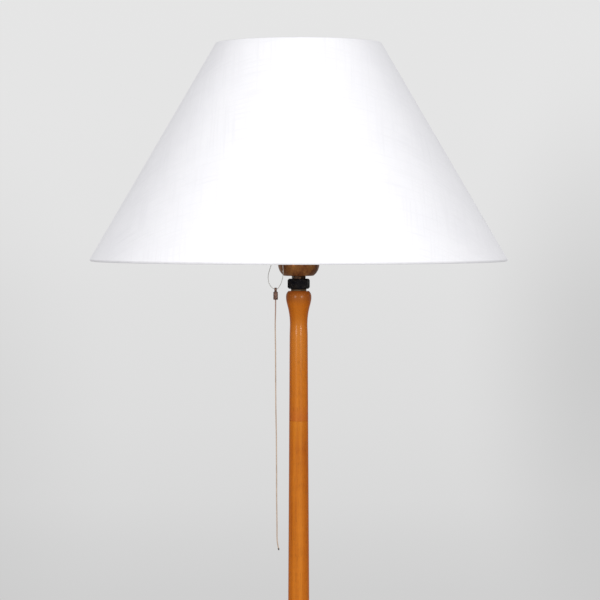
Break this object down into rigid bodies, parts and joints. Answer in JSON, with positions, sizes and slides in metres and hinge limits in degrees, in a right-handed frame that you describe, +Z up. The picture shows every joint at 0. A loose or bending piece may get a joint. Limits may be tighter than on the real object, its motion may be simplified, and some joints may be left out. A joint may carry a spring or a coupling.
{
  "type": "candlestick floor lamp",
  "caption": "Floor lamp with a slim turned wooden pole in sections, a round weighted foot, a pull-switch lampholder and a tapered linen shade that turns on a wire carrier.",
  "frame": {"origin": "centre of the foot's underside, on the floor", "axes": "+Z up along the pole, -Y to the front, where the picture was taken from, +X to the right in the picture"},
  "size_m": [0.4499, 0.45, 1.3995],
  "materials": {
    "felt": "matte",
    "iron": "rough",
    "steel": "satin",
    "wood": "glossy varnish",
    "brass": "satin",
    "patina_brass": "patinated",
    "bakelite": "semi-gloss",
    "porcelain": "glazed",
    "cap_metal": "satin",
    "opal_glass": "opal",
    "cord": "matte",
    "cord_end": "matte",
    "white_metal": "satin",
    "liner": "matte",
    "linen": "matte"
  },
  "bodies": {
    "stand": {"base_felt": "felt", "base_weight": "iron", "weight_screws": "steel", "base_foot": "wood", "foot_washer": "steel", "foot_nut": "steel", "base_tube": "brass", "cord_bushing": "bakelite", "joint_inserts": "brass", "pole_lower": "wood", "lower_joint_tube": "brass", "pole_middle": "wood", "upper_joint_tube": "brass", "pole_top": "wood", "top_nipple": "brass", "collar_nut": "bakelite", "lock_nut": "patina_brass", "holder_cup": "patina_brass", "holder_block": "porcelain", "terminal_screws": "brass", "holder_skirt": "patina_brass", "skirt_liner": "bakelite", "screw_shell": "brass", "centre_contact": "brass", "switch_spring": "steel", "shade_ring_lower": "patina_brass", "shade_ring_upper": "patina_brass", "carrier_lower_ring": "brass", "carrier_wires": "brass", "carrier_upper_ring": "brass", "bulb_cap": "cap_metal", "bulb_insulator": "bakelite", "bulb_contact": "cap_metal", "bulb_glass": "opal_glass"},
    "switch": {"switch_shaft": "steel", "switch_rotor": "bakelite", "switch_crank": "steel"},
    "loop": {"pull_loop": "steel"},
    "pull": {"pull_ferrule": "patina_brass", "pull_cord": "cord", "cord_tip": "cord_end"},
    "shade": {"shade_spider": "white_metal", "shade_top_ring": "white_metal", "shade_bottom_ring": "white_metal", "shade_liner": "liner", "shade_cover": "linen", "shade_top_roll": "linen", "shade_bottom_roll": "linen"}
  },
  "joints": [
    {"name": "crank_pull", "type": "hinge", "parent": "stand", "child": "switch", "pos_m": [-0.0235, 0, 1.1719], "axis": [1, 0, 0], "range_deg": [0, 20], "stiffness_Nm_per_rad": 0.02, "springref_deg": -17.19},
    {"name": "loop_hang", "type": "hinge", "parent": "switch", "child": "loop", "pos_m": [-0.0235, -0.01773, 1.17503], "axis": [1, 0, 0], "range_deg": [-20, 0]},
    {"name": "cord_swing", "type": "hinge", "parent": "loop", "child": "pull", "pos_m": [-0.0248, -0.01773, 1.13503], "axis": [1, 0, 0], "range_deg": [-30, 30]},
    {"name": "shade_turn", "type": "hinge", "parent": "stand", "child": "shade", "pos_m": [0, 0, 1.3743], "axis": [0, 0, 1], "continuous": true}
  ],
  "couplings": [
    {"joint": "loop_hang", "follows": "crank_pull", "ratio": -1}
  ]
}
